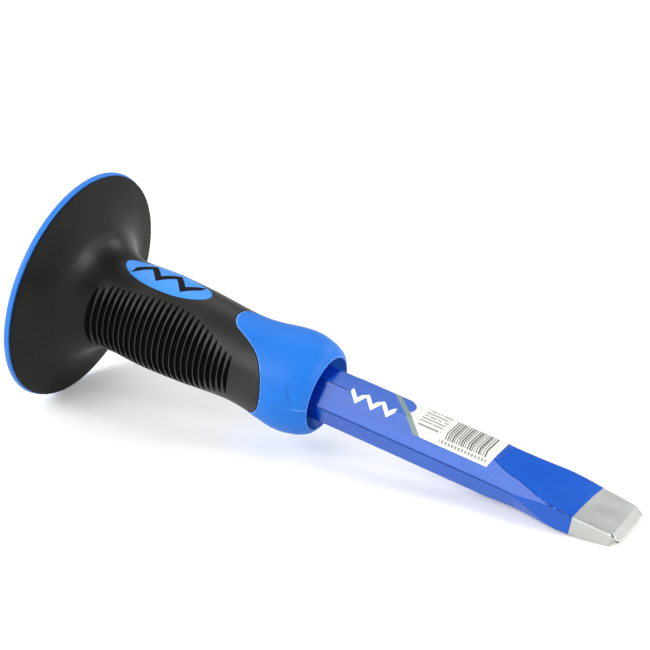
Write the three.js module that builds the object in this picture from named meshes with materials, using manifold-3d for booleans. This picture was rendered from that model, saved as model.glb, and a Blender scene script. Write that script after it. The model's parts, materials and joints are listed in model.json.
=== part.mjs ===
// Cold chisel with a round hand guard, lying on a flat surface.
// Millimetres, +Z up. The blade points to +X and rests on its lower edge; the guard rests on its rim.
// Every piece is built along its own axis first: x runs from the struck head to the cutting edge,
// y is sideways and z is up across the bar. The finished group is then tipped until it lies flat.

import * as THREE from 'three';
import { mergeVertices } from 'three/addons/utils/BufferGeometryUtils.js';
import Module from 'manifold-3d';

const wasm = await Module();
wasm.setup();

// Overall sizes
const overallLength = 254;
const acrossFlats = 18;
const guardPlane = 16.7;        // front rim of the guard, from the struck head
const guardRadius = 47.2;
const mouthPlane = guardPlane + 112.7;
const taperStart = guardPlane + 182;

// Fits between neighbouring pieces
const gap = 0.3;
const reach = 40;               // half size of cutting bodies, larger than any piece they cut
const roundSegments = 48;

// Bar
const flatWidth = acrossFlats / Math.sqrt(3);
const headChamferLength = 5;
const headFaceRadius = 7.8;

// Core
const tubeRadius = 13.2;
const tubeLength = 105;         // in front of the guard plane
const hubRadius = 16.5;
const hubBack = 5.5;            // hub stands this far behind the guard plane
const plateBack = 3;            // back face, from the guard plane
const plateWidest = 1.9;        // widest ring, from the guard plane

// Collar
const mouthRadius = 14;
const throatRadius = 11.2;
const throatDepth = 6;
const tongueTip = guardPlane + 71;
const tongueRoot = guardPlane + 93.8;
const tongueSharpness = 4.4;
const tongueRounding = 1.6;
const seamSegments = 96;
const seamInside = 12.5;        // the seam is cut between these two radii
const seamOutside = 21.5;

// Badge on top of the grip
const badgeCentre = guardPlane + 38.5;
const badgeLength = 38.4;
const badgeWidth = 16.8;
const badgeThickness = 1.2;
const badgeSink = 0.35;
const emblemThickness = 0.3;
const emblemTurns = 5;
const emblemPitch = 5.6;
const emblemHeight = 6.4;
const emblemStroke = 3.4;

// Label
const labelStart = guardPlane + 122.8;
const labelEnd = guardPlane + 185;
const labelSkew = 1.6;          // the lower edge is cut this much shorter
const labelThickness = 0.2;
const labelDrop = 0.53;         // share of the near upper flat that it covers

// Outline of the grip and collar: distance in front of the guard plane, radius.
const gripOutline = [
  [0.8, 45.9], [2, 41], [3.7, 35], [6, 29.5], [9.5, 24.8], [14, 21.2], [19, 19.2], [24, 18.8],
  [30, 19.1], [38, 19.4], [46, 19.2], [55, 18.8], [64, 18.1], [72, 17.5], [79, 17.4], [85, 18],
  [91, 19.1], [96, 19.9], [100.5, 20.1], [105, 19.4], [109, 18.1], [111.5, 16.5], [112.7, 14.9],
];
const samplesPerSpan = 2;

// Forged blade: distance in front of the guard plane, half width, top, bottom, lean in degrees.
const bladeSections = [
  [182, 12, 9.4, -9.4, 4],
  [186, 11.6, 7.75, -8.3, 5],
  [190, 11.2, 6.7, -6.9, 5],
  [197, 10.75, 5.65, -6, 5.2],
  [203.5, 11.2, 4.8, -5.2, 5],
  [209, 11.6, 4.25, -4.7, 4.2],
  [215, 12.1, 3.7, -4.5, 2.8],
  [221, 12.3, 3.15, -4.3, 1.4],
  [228, 12.2, 2.8, -3.5, 0.6],
  [234.5, 11.9, 2.4, -2.6, 0],
  [237.3, 11.7, 0.15, -0.15, 0],
];

// How much wider than the plain bar the steel has spread under the hammer.
const forgedSpread = [
  [186, 1], [191, 1.01], [197, 1.04], [200, 1.1], [204, 1.2], [209, 1.34], [215, 1.7], [221, 2.2],
];

const materials = {
  paint: new THREE.MeshStandardMaterial({ color: 0x3f6fd0, roughness: 0.4, metalness: 0.1 }),
  plastic: new THREE.MeshStandardMaterial({ color: 0x3b88f7, roughness: 0.45, metalness: 0 }),
  rubber: new THREE.MeshStandardMaterial({ color: 0x2a2a28, roughness: 0.7, metalness: 0 }),
  inlay: new THREE.MeshStandardMaterial({ color: 0x4a94f0, roughness: 0.45, metalness: 0 }),
  emblem: new THREE.MeshStandardMaterial({ color: 0x141414, roughness: 0.6, metalness: 0 }),
  label: new THREE.MeshStandardMaterial({ color: 0xf2f2ee, roughness: 0.5, metalness: 0 }),
};

// ---------------------------------------------------------------- solids

// Turns a closed three.js geometry into a solid that can be cut and joined.
function toSolid(geometry) {
  const bare = geometry.clone();
  bare.deleteAttribute('normal');
  bare.deleteAttribute('uv');
  const welded = mergeVertices(bare, 1e-4);
  const corners = welded.index.array;
  const kept = [];
  for (let i = 0; i < corners.length; i += 3) {
    const [a, b, c] = [corners[i], corners[i + 1], corners[i + 2]];
    if (a !== b && b !== c && c !== a) kept.push(a, b, c);
  }
  return new wasm.Manifold(new wasm.Mesh({
    numProp: 3,
    vertProperties: new Float32Array(welded.attributes.position.array),
    triVerts: new Uint32Array(kept),
  }));
}

function toGeometry(solid) {
  const mesh = solid.getMesh();
  const geometry = new THREE.BufferGeometry();
  geometry.setAttribute('position', new THREE.BufferAttribute(mesh.vertProperties, 3));
  geometry.setIndex(new THREE.BufferAttribute(mesh.triVerts, 1));
  geometry.computeVertexNormals();
  return geometry;
}

// Body of revolution about x from [x, radius] points that close on the axis or on themselves.
function turned(profile, segments = roundSegments) {
  const points = profile.map(([x, radius]) => new THREE.Vector2(radius, x));
  return new THREE.LatheGeometry(points, segments).rotateZ(-Math.PI / 2);
}

// Closed skin through a row of sections, each a list of [x, y, z] with the same number of points.
function lofted(sections) {
  const count = sections[0].length;
  const positions = sections.flat(2);
  const corners = [];
  for (let s = 0; s + 1 < sections.length; s += 1) {
    for (let i = 0; i < count; i += 1) {
      const a = s * count + i;
      const b = s * count + (i + 1) % count;
      corners.push(a, b, a + count, b, b + count, a + count);
    }
  }
  const last = (sections.length - 1) * count;
  for (let i = 1; i + 1 < count; i += 1) {
    corners.push(0, i + 1, i);
    corners.push(last, last + i, last + i + 1);
  }
  const geometry = new THREE.BufferGeometry();
  geometry.setAttribute('position', new THREE.Float32BufferAttribute(positions, 3));
  geometry.setIndex(corners);
  return geometry;
}

// Prism along z from a flat outline in the x-y plane.
function uprightPrism(outline, bottom, top) {
  const shape = new THREE.Shape(outline.map(([x, y]) => new THREE.Vector2(x, y)));
  return new THREE.ExtrudeGeometry(shape, { depth: top - bottom, bevelEnabled: false })
    .translate(0, 0, bottom);
}

// ---------------------------------------------------------------- shared shapes

// Corners of a hexagon with flats on top and bottom, spread sideways by the given factor.
function hexSection(x, flats, spread = 1) {
  const side = flats / Math.sqrt(3);
  return [
    [x, -side * spread, 0],
    [x, -side * spread / 2, -flats / 2],
    [x, side * spread / 2, -flats / 2],
    [x, side * spread, 0],
    [x, side * spread / 2, flats / 2],
    [x, -side * spread / 2, flats / 2],
  ];
}

// Points of the grip outline between two distances in front of the guard plane.
function gripPoints(from, to, inset = 0) {
  const controls = gripOutline.map(([x, radius]) => new THREE.Vector2(x, radius));
  const curve = new THREE.SplineCurve(controls);
  return curve.getPoints((controls.length - 1) * samplesPerSpan)
    .filter((point) => point.x >= from && point.x <= to)
    .map((point) => [guardPlane + point.x, point.y - inset]);
}

// Body between the grip surface sunk by one depth and sunk by a larger one.
function gripShell(outerInset, innerInset) {
  const outer = gripPoints(14, 64, outerInset);
  const inner = gripPoints(14, 64, innerInset).reverse();
  return toSolid(turned([...outer, ...inner, outer[0]]));
}

// Everything in front of the curved seam between grip and collar.
// The seam runs back in a tongue along the top and the bottom.
function aheadOfSeam(offset) {
  const near = tongueTip;
  const far = mouthPlane + reach;
  const point = [tongueRoot + gap, 0];
  const profile = [point, [near, seamInside], [near, seamOutside], [far, seamOutside], [far, 0]];
  const body = turned(profile, seamSegments);
  const place = body.attributes.position;
  for (let i = 0; i < place.count; i += 1) {
    if (Math.abs(place.getX(i) - near) < gap) {
      const upright = Math.abs(place.getZ(i)) / Math.hypot(place.getY(i), place.getZ(i));
      const share = (1 - upright ** tongueSharpness) ** tongueRounding;
      place.setX(i, near + (tongueRoot - near) * share + offset);
    }
  }
  return toSolid(body);
}

function ovalPrism(grow) {
  const outline = new THREE.EllipseCurve(badgeCentre, 0, badgeLength / 2 + grow, badgeWidth / 2 + grow)
    .getPoints(roundSegments)
    .slice(0, -1)
    .map((point) => [point.x, point.y]);
  return toSolid(uprightPrism(outline, tubeRadius, reach));
}

// ---------------------------------------------------------------- pieces

function chiselBar() {
  const plain = hexSection(0, acrossFlats);
  const spreading = forgedSpread.map(([x, spread]) => hexSection(guardPlane + x, acrossFlats, spread));
  const widest = forgedSpread[forgedSpread.length - 1][1];
  const end = hexSection(overallLength, acrossFlats, widest);
  const bar = toSolid(lofted([plain, ...spreading, end]));

  const head = [[0, -reach, -reach], [0, reach, -reach], [0, reach, reach], [0, -reach, reach]];
  const beforeTaper = head.map(([, y, z]) => [taperStart - 1, y, z]);
  const sections = bladeSections.map(([x, halfWidth, top, bottom, lean]) => {
    const cos = Math.cos(THREE.MathUtils.degToRad(lean));
    const sin = Math.sin(THREE.MathUtils.degToRad(lean));
    const box = [[-halfWidth, bottom], [halfWidth, bottom], [halfWidth, top], [-halfWidth, top]];
    return box.map(([y, z]) => [guardPlane + x, y * cos - z * sin, y * sin + z * cos]);
  });
  const blade = toSolid(lofted([head, beforeTaper, ...sections]));

  const headCone = toSolid(turned([
    [0, 0],
    [0, headFaceRadius],
    [headChamferLength, flatWidth + 1],
    [overallLength + 1, reach],
    [overallLength + 1, 0],
  ]));
  return bar.intersect(blade).intersect(headCone);
}

function guardCore() {
  const behind = [
    [-hubBack, 0], [-hubBack, hubRadius - 2], [-hubBack + 1, hubRadius], [-plateBack - 0.5, hubRadius + 5],
    [-plateBack, hubRadius + 12], [-plateBack, guardRadius - 1.4], [-plateBack + 0.3, guardRadius - 0.4],
  ];
  const rim = [[-plateWidest, guardRadius], [-0.7, guardRadius - 0.4], [-gap, guardRadius - 0.9]];
  const tube = [
    [-gap, 32], [4, 23], [11, 16.5], [19, tubeRadius], [tubeLength, tubeRadius], [tubeLength, 0],
  ];
  const profile = [...behind, ...rim, ...tube].map(([x, radius]) => [guardPlane + x, radius]);
  const bore = toSolid(lofted([
    hexSection(-reach, acrossFlats + 2 * gap),
    hexSection(overallLength, acrossFlats + 2 * gap),
  ]));
  return toSolid(turned(profile)).subtract(bore);
}

function gripSleeve() {
  const edge = [[0, guardRadius - 1.2], [0.2, guardRadius - 0.8]];
  const outer = gripPoints(0, tongueRoot - guardPlane + 4);
  const front = outer[outer.length - 1][0] - guardPlane;
  const bore = tubeRadius + gap;
  const inner = [[front, bore], [19.2, bore], [11.3, 16.9], [4.2, 23.5], [0, 32.7]];
  const placed = ([x, radius]) => [guardPlane + x, radius];
  const profile = [...edge.map(placed), ...outer, ...inner.map(placed), placed(edge[0])];
  const pocket = gripShell(-1, badgeSink + badgeThickness + gap).intersect(ovalPrism(gap));
  return toSolid(turned(profile)).subtract(aheadOfSeam(-gap / 2)).subtract(pocket);
}

function frontCollar() {
  const outer = gripPoints(tongueTip - guardPlane - 3, Infinity);
  const bore = tubeRadius + gap;
  const wall = guardPlane + tubeLength + gap;
  const inner = [
    [mouthPlane - 0.2, mouthRadius],
    [mouthPlane - throatDepth, throatRadius],
    [wall, throatRadius],
    [wall, bore],
    [outer[0][0], bore],
  ];
  return toSolid(turned([...outer, ...inner, outer[0]])).intersect(aheadOfSeam(gap / 2));
}

function badgeInlay() {
  return gripShell(badgeSink, badgeSink + badgeThickness).intersect(ovalPrism(0));
}

// A plain zigzag stroke along the badge.
function badgeEmblem() {
  const start = badgeCentre - emblemTurns * emblemPitch / 2;
  const upper = [];
  const lower = [];
  for (let i = 0; i <= emblemTurns; i += 1) {
    const side = i % 2 === 0 ? -1 : 1;
    const x = start + i * emblemPitch;
    const y = side * emblemHeight / 2;
    upper.push([x, y + emblemStroke / 2]);
    lower.push([x, y - emblemStroke / 2]);
  }
  const stroke = toSolid(uprightPrism([...lower, ...upper.reverse()], tubeRadius, reach));
  const inset = badgeSink - gap;
  return gripShell(inset - emblemThickness, inset).intersect(stroke);
}

// Thin strip over the top flat, folded down over the near upper flat.
function productLabel() {
  const upward = new THREE.Vector2(0, 1);
  const slope = new THREE.Vector2(-Math.sqrt(3) / 2, 0.5);
  const fold = new THREE.Vector2(-flatWidth / 2, acrossFlats / 2);
  const foldOut = upward.clone().add(slope).divideScalar(1 + upward.dot(slope));
  const down = new THREE.Vector2(-0.5, -Math.sqrt(3) / 2).multiplyScalar(flatWidth * labelDrop);
  const across = (height) => [
    fold.clone().add(down).addScaledVector(slope, height),
    fold.clone().addScaledVector(foldOut, height),
    new THREE.Vector2(flatWidth / 2, acrossFlats / 2).addScaledVector(upward, height),
  ];
  const section = new THREE.Shape([...across(gap), ...across(gap + labelThickness).reverse()]);
  const length = labelEnd - labelStart;
  const strip = new THREE.ExtrudeGeometry(section, { depth: length, bevelEnabled: false });
  const place = strip.attributes.position;
  for (let i = 0; i < place.count; i += 1) {
    const droppedShare = Math.max(0, (fold.y - place.getY(i)) / -down.y);
    if (place.getZ(i) > length / 2) place.setZ(i, length - labelSkew * droppedShare);
  }
  const [alongX, alongY, alongZ] = [0, 1, 2].map((axis) => new THREE.Vector3().setComponent(axis, 1));
  strip.applyMatrix4(new THREE.Matrix4().makeBasis(alongY, alongZ, alongX));
  return toSolid(strip.translate(labelStart, 0, 0));
}

// ---------------------------------------------------------------- assembly

// Tilt at which the widest ring of the guard plate and the lower blade edge touch one level surface.
function restingTilt() {
  const [tipPlane, , , tipBottom] = bladeSections[bladeSections.length - 2];
  return Math.atan2(guardRadius + tipBottom, tipPlane + plateWidest);
}

function piece(name, solid, material) {
  const mesh = new THREE.Mesh(toGeometry(solid), material);
  mesh.name = name;
  return mesh;
}

const lying = new THREE.Group();
lying.rotation.y = restingTilt();
lying.add(
  piece('chisel_bar', chiselBar(), materials.paint),
  piece('guard_core', guardCore(), materials.plastic),
  piece('grip_sleeve', gripSleeve(), materials.rubber),
  piece('front_collar', frontCollar(), materials.plastic),
  piece('badge_inlay', badgeInlay(), materials.inlay),
  piece('badge_emblem', badgeEmblem(), materials.emblem),
  piece('product_label', productLabel(), materials.label),
);

const coldChisel = new THREE.Group();
coldChisel.add(lying);
coldChisel.updateMatrixWorld(true);
const bounds = new THREE.Box3().setFromObject(coldChisel, true);
const middle = bounds.getCenter(new THREE.Vector3());
lying.position.set(-middle.x, -middle.y, -bounds.min.z);

export default coldChisel;
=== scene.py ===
import math

import bmesh
import bpy
import numpy as np
from mathutils import Matrix, Vector
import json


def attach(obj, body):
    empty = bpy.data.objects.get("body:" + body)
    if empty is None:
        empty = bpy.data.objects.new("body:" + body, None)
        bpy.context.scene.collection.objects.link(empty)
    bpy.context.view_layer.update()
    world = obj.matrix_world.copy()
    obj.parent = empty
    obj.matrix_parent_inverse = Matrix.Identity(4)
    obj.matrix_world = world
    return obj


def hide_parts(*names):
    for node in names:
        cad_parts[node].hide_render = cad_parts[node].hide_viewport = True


# A cold chisel with a round hand guard, lying on a pale floor. Every piece is worked out in
# millimetres along the bar's own axis: x from the struck head to the cutting edge, y sideways
# (the camera is on the negative side) and z up across the bar. place() puts it in the row frame.

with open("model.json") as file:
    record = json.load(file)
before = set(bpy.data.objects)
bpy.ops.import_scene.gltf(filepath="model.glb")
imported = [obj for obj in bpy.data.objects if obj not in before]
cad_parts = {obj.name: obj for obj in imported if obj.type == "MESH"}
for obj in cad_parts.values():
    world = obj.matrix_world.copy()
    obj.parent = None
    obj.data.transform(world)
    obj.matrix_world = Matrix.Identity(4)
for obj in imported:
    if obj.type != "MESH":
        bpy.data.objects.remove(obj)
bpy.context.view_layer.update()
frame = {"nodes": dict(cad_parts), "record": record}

MM = 0.001

# ------------------------------ the bar's own axes

head_mount = next(m for m in frame["record"]["mounts"] if m["name"] == "struck_face")
head_centre = np.array(head_mount["pos_m"])
forward = -np.array(head_mount["axis"])
forward /= np.linalg.norm(forward)
sideways = np.array([0.0, 1.0, 0.0])
upward = np.cross(forward, sideways)
bar_axes = np.stack([forward, sideways, upward])
tilt = math.asin(-forward[2])


def place(points):
    """Row frame positions, in metres, of points given along the bar's axes in millimetres."""
    return head_centre + (np.asarray(points, float) @ bar_axes) * MM


def along_bar(world):
    """Positions along the bar's axes in millimetres, from a flat run of row frame positions."""
    return (world.reshape(-1, 3) - head_centre) @ bar_axes.T / MM


def reach_of(node):
    """Lowest and highest corner of a CAD node along the bar's axes, in millimetres."""
    mesh = frame["nodes"][node].data
    world = np.empty(len(mesh.vertices) * 3)
    mesh.vertices.foreach_get("co", world)
    local = along_bar(world)
    return local.min(0), local.max(0)


# ------------------------------ driving sizes

bar_high = reach_of("chisel_bar")[1]
core_low, core_high = reach_of("guard_core")
grip_low = reach_of("grip_sleeve")[0]
collar_high = reach_of("front_collar")[1]
inlay_low, inlay_high = reach_of("badge_inlay")
label_low, label_high = reach_of("product_label")

GUARD = grip_low[0]                 # front plane of the guard
TIP = bar_high[0]
MOUTH = collar_high[0]
GUARD_RADIUS = core_high[1]
FLATS = 2 * bar_high[2]             # across the flats of the hexagonal bar
FLAT_WIDTH = FLATS / math.sqrt(3)

LIFT = 0.2                          # of the grip and the collar over the bar's axis
PAINT = 0.12                        # thickness of the enamel
FILM = 0.1                          # thickness of the label
FIT = 0.24                          # visible line between two moulded pieces
SEAM_ROUND = 0.35                   # rounding of their edges along that line
SEAM_DEPTH = 0.8                    # how deep those edges reach before they turn in
TUBE = 13.2                         # radius of the tube inside the grip
TUBE_END = 105                      # its end, in front of the guard plane
TUBE_GAP = 0.25                     # between the tube and what is moulded round it
BORE_FLATS = FLATS + 0.8            # across the flats of the hole that the bar is pressed into

# Outline of grip and collar: distance in front of the guard plane, radius.
OUTLINE = np.array([
    [0.8, 45.9], [2, 41], [3.7, 35], [6, 29.5], [9.5, 24.8], [14, 21.2], [19, 19.2], [24, 18.8],
    [30, 19.1], [38, 19.4], [46, 19.2], [55, 18.8], [64, 18.1], [72, 17.5], [79, 17.4], [85, 18],
    [91, 19.1], [96, 19.9], [100.5, 20.1], [105, 19.4], [109, 18.1], [111.5, 16.5], [112.7, 14.9],
])

# Seam between grip and collar: degrees from the top or bottom line (out of 90 at the side line),
# distance in front of the guard plane. The collar runs back in a tongue along the top and bottom.
SEAM = np.array([
    [0, 71], [6, 71.15], [12.6, 71.8], [21.3, 74], [33, 81.1], [45, 87.2], [62, 92], [78, 94.2],
    [90, 94.7],
])
SIDE_LINE = 94                      # the seam reaches furthest forward this far from the top line

# Forged blade: distance in front of the guard plane, half width, top, bottom, then the lean of
# its sides and of its top in degrees.
BLADE = np.array([
    [182, 12, 9.4, 9.4, 4, 4], [186, 11.6, 7.75, 8.5, 5, 6], [190, 11.2, 6.7, 7.6, 5, 6.8],
    [197, 10.75, 5.65, 7, 5.2, 7], [203.5, 11.2, 4.8, 6.2, 5, 6.4], [209, 11.6, 4.25, 5.5, 4.2, 5.2],
    [215, 12.1, 3.7, 4.45, 2.8, 3.4], [221, 12.3, 3.15, 4.15, 1.4, 1.6],
    [228, 12.2, 2.8, 3.5, 0.6, 0.6], [234.5, 11.9, 2.4, 2.6, 0, 0],
])
HALF_WIDTH, TOP, BOTTOM, SIDE_LEAN, TOP_LEAN = range(1, 6)    # its columns
EDGE_HALF = 0.12                    # half thickness of the cutting edge
EDGE_WIDTH = 11.75                  # half its length
BEVEL_START = GUARD + BLADE[-1, 0]
BEVEL_SLOPE = (BLADE[-1, TOP] - EDGE_HALF) / (TIP - BEVEL_START)
EDGE_CHAMFER = 0.65                 # broken edge of the bare steel, on top of the camera side
PAINT_END = 219.9                   # in front of the guard plane, in the middle of the blade

# Sideways spread of the hexagon under the hammer: distance, then the upper flat on the camera
# side, the lower flat on that side, and both flats on the far side.
SPREAD = np.array([
    [180, 1, 1, 1], [186, 1, 1, 1.06], [191, 1.01, 1.01, 1.18], [197, 1.04, 1.06, 1.29],
    [200, 1.1, 1.14, 1.35], [204, 1.2, 1.27, 1.44], [209, 1.34, 1.44, 1.58], [215, 1.7, 1.62, 1.82],
    [221, 2.2, 1.95, 2.2], [240, 2.4, 2.4, 2.4],
])


def smooth(table, column, x):
    """Smooth curve through one column of a table whose first column is distance."""
    knots = table[:, 0]
    values = table[:, column]
    slopes = np.gradient(values, knots)
    x = np.clip(x, knots[0], knots[-1])
    i = np.clip(np.searchsorted(knots, x) - 1, 0, len(knots) - 2)
    span = knots[i + 1] - knots[i]
    t = (x - knots[i]) / span
    return (
        values[i] * (1 + 2 * t) * (1 - t) ** 2
        + slopes[i] * span * t * (1 - t) ** 2
        + values[i + 1] * t * t * (3 - 2 * t)
        + slopes[i + 1] * span * t * t * (t - 1)
    )


def grip_radius(x):
    return smooth(OUTLINE, 1, x - GUARD)


def from_top(angle):
    """Degrees from the top line, 0 to 180."""
    return np.degrees(np.arccos(np.cos(angle)))


def seam(angle):
    """Where the grip ends and the collar starts. The angle is measured from the top line."""
    turned = from_top(angle)
    share = np.where(turned < SIDE_LINE, turned / SIDE_LINE, (180 - turned) / (180 - SIDE_LINE))
    return GUARD + smooth(SEAM, 1, 90 * share)


def ease(value, start, end):
    """0 before start, 1 after end, smooth between."""
    t = np.clip((value - start) / (end - start), 0, 1)
    return t * t * (3 - 2 * t)


# ------------------------------ meshes


def ring_points(x, radius, angle):
    """Points round the bar's axis. Angle 0 is the top line and grows towards the camera side."""
    x, radius, angle = np.broadcast_arrays(x, radius, angle)
    return np.stack([x, -radius * np.sin(angle), radius * np.cos(angle) + grip_lift(x)], -1)


def grip_lift(x):
    """How far the hollow of the grip and the collar sit above the bar's axis."""
    return LIFT * ease(x - GUARD, 12, 36)


def grid_faces(rows, columns, wrap_rows, wrap_columns):
    """Quads of a grid of points, joined round in either direction."""
    i = np.arange(rows if wrap_rows else rows - 1)
    j = np.arange(columns if wrap_columns else columns - 1)
    i, j = np.meshgrid(i, j, indexing="ij")
    next_i = (i + 1) % rows
    next_j = (j + 1) % columns
    quads = [i * columns + j, i * columns + next_j, next_i * columns + next_j, next_i * columns + j]
    return np.stack(quads, -1).reshape(-1, 4).tolist()


def closed_object(name, points, faces):
    """An object from points along the bar's axes, with its faces turned outwards."""
    mesh = bpy.data.meshes.new(name)
    mesh.from_pydata(place(points).tolist(), [], faces)
    mesh.update()
    turned = bmesh.new()
    turned.from_mesh(mesh)
    bmesh.ops.recalc_face_normals(turned, faces=turned.faces)
    turned.to_mesh(mesh)
    turned.free()
    solid = bpy.data.objects.new(name, mesh)
    bpy.context.scene.collection.objects.link(solid)
    return solid


def finish_piece(piece, look, node, sharp_degrees):
    """Gives a piece its shading and material. It rides on the body and may stand for a CAD node."""
    mesh = piece.data
    mesh.polygons.foreach_set("use_smooth", [True] * len(mesh.polygons))
    mesh.set_sharp_from_angle(angle=math.radians(sharp_degrees))
    mesh.materials.clear()
    mesh.materials.append(look.material)
    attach(piece, "root")
    if node:
        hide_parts(node)


def add_piece(name, points, faces, look, node, sharp_degrees=40):
    """A closed piece from points along the bar's axes."""
    piece = closed_object(name, points, faces)
    finish_piece(piece, look, node, sharp_degrees)
    return piece


def ring_piece(name, rows, look, node, sharp_degrees):
    """A ring-shaped piece. Each row runs round the bar, and the last joins the first."""
    points = np.stack(rows)
    faces = grid_faces(points.shape[0], points.shape[1], True, True)
    return add_piece(name, points.reshape(-1, 3), faces, look, node, sharp_degrees)


def store(piece, name, values):
    """Keeps a number for each point of a piece, for its material to read."""
    layer = piece.data.attributes.new(name, "FLOAT", "POINT")
    layer.data.foreach_set("value", values.reshape(-1).astype(np.float32))


def tube_faces(rows, columns):
    """Faces of a stack of rings with both ends closed on a middle point, added last."""
    faces = grid_faces(rows, columns, False, True)
    first = rows * columns
    last = first + 1
    start = (rows - 1) * columns
    for j in range(columns):
        after = (j + 1) % columns
        faces.append([first, after, j])
        faces.append([last, start + j, start + after])
    return faces


def carve(piece, cutter):
    """Cuts one piece with another, which is then removed."""
    modifier = piece.modifiers.new("cut", "BOOLEAN")
    modifier.operation = "DIFFERENCE"
    modifier.solver = "EXACT"
    modifier.object = cutter
    graph = bpy.context.evaluated_depsgraph_get()
    cut = bpy.data.meshes.new_from_object(piece.evaluated_get(graph))
    piece.modifiers.clear()
    piece.data = cut
    bpy.data.objects.remove(cutter)


# ------------------------------ materials


class Look:
    """A node material. Lengths in its patterns are millimetres along the bar's axes."""

    def __init__(self, name, color, roughness, metallic=0.0):
        self.material = bpy.data.materials.new(name)
        self.material.use_nodes = True
        self.tree = self.material.node_tree
        self.shader = self.tree.nodes["Principled BSDF"]
        self.shader.inputs["Base Color"].default_value = (*color, 1)
        self.shader.inputs["Roughness"].default_value = roughness
        self.shader.inputs["Metallic"].default_value = metallic
        position = self.node("ShaderNodeTexCoord").outputs["Object"]
        turn = self.node("ShaderNodeMapping")
        turn.vector_type = "TEXTURE"
        turn.inputs["Location"].default_value = tuple(head_centre)
        turn.inputs["Rotation"].default_value = (0, tilt, 0)
        turn.inputs["Scale"].default_value = (MM, MM, MM)
        self.link(position, turn.inputs["Vector"])
        self.where = turn.outputs["Vector"]

    def node(self, kind):
        return self.tree.nodes.new(kind)

    def link(self, source, target):
        self.tree.links.new(source, target)

    def put(self, socket, value):
        """Sets a socket to a number or colour, or joins it to another node's output."""
        if isinstance(value, bpy.types.NodeSocket):
            self.link(value, socket)
        else:
            socket.default_value = value

    def math(self, operation, a, b=0.0, c=0.0):
        node = self.node("ShaderNodeMath")
        node.operation = operation
        for socket, value in zip(node.inputs, (a, b, c)):
            self.put(socket, value)
        return node.outputs[0]

    def stretched(self, scale):
        """The place on the piece, with a scale of its own along each axis."""
        node = self.node("ShaderNodeVectorMath")
        node.operation = "MULTIPLY"
        self.link(self.where, node.inputs[0])
        node.inputs[1].default_value = scale
        return node.outputs[0]

    def product(self, first, *others):
        for other in others:
            first = self.math("MULTIPLY", first, other)
        return first

    def noise(self, size, detail=3.0, stretch=(1, 1, 1)):
        """Soft noise with blotches about that many millimetres across."""
        node = self.node("ShaderNodeTexNoise")
        self.link(self.stretched(tuple(s / size for s in stretch)), node.inputs["Vector"])
        node.inputs["Scale"].default_value = 1.0
        node.inputs["Detail"].default_value = detail
        return node.outputs["Fac"]

    def between(self, value, low, high, start=0.0, end=1.0):
        """Maps value from low..high to start..end, held at the ends."""
        node = self.node("ShaderNodeMapRange")
        for socket, number in zip(node.inputs, (value, low, high, start, end)):
            self.put(socket, number)
        return node.outputs[0]

    def stripe(self, value, low, high, soft=0.06):
        """1 where value lies between low and high, with soft ends."""
        above = self.between(value, low - soft, low + soft)
        below = self.between(value, high - soft, high + soft, 1, 0)
        return self.product(above, below)

    def mix(self, share, first, second):
        node = self.node("ShaderNodeMix")
        node.data_type = "RGBA"
        self.put(node.inputs["Factor"], share)
        for name, value in (("A", first), ("B", second)):
            socket = next(s for s in node.inputs if s.name == name and s.type == "RGBA")
            self.put(socket, value if isinstance(value, bpy.types.NodeSocket) else (*value, 1))
        return next(s for s in node.outputs if s.type == "RGBA")

    def parts(self, vector=None):
        """The three parts of a vector, or of the place on the piece."""
        node = self.node("ShaderNodeSeparateXYZ")
        self.link(vector or self.where, node.inputs[0])
        return node.outputs

    def attribute(self, name, output):
        node = self.node("ShaderNodeAttribute")
        node.attribute_name = name
        return node.outputs[output]

    def color(self, value):
        self.link(value, self.shader.inputs["Base Color"])

    def roughness(self, value):
        self.link(value, self.shader.inputs["Roughness"])

    def bump(self, height, depth):
        """Relief. Depth is in millimetres for a height of 1."""
        node = self.node("ShaderNodeBump")
        node.inputs["Strength"].default_value = 1.0
        node.inputs["Distance"].default_value = depth * MM
        self.link(height, node.inputs["Height"])
        earlier = self.shader.inputs["Normal"]
        if earlier.is_linked:
            self.link(earlier.links[0].from_socket, node.inputs["Normal"])
        self.link(node.outputs["Normal"], earlier)


def plastic_look(name, color, dark, roughness, specular=0.3):
    """Moulded plastic: faint flow marks, a fine grain and uneven sheen."""
    look = Look(name, color, roughness)
    look.shader.inputs["Specular IOR Level"].default_value = specular
    flow = look.noise(22, 2, stretch=(0.5, 1, 1))
    blotch = look.noise(5, 4)
    share = look.between(flow, 0.35, 0.7, 0, 0.55)
    share = look.math("ADD", share, look.between(blotch, 0.45, 0.8, 0, 0.22))
    look.tone = look.mix(share, color, dark)
    look.color(look.tone)
    look.roughness(look.between(blotch, 0.3, 0.7, roughness - 0.04, roughness + 0.06))
    look.bump(look.noise(0.35, 2), 0.012)
    look.bump(look.noise(9, 1), 0.05)
    return look


def guard_look():
    return plastic_look("guard_blue", (0.026, 0.17, 0.58), (0.02, 0.145, 0.52), 0.42, 0.25)


def inlay_look():
    return plastic_look("inlay_blue", (0.04, 0.25, 0.74), (0.03, 0.21, 0.66), 0.4)


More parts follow.
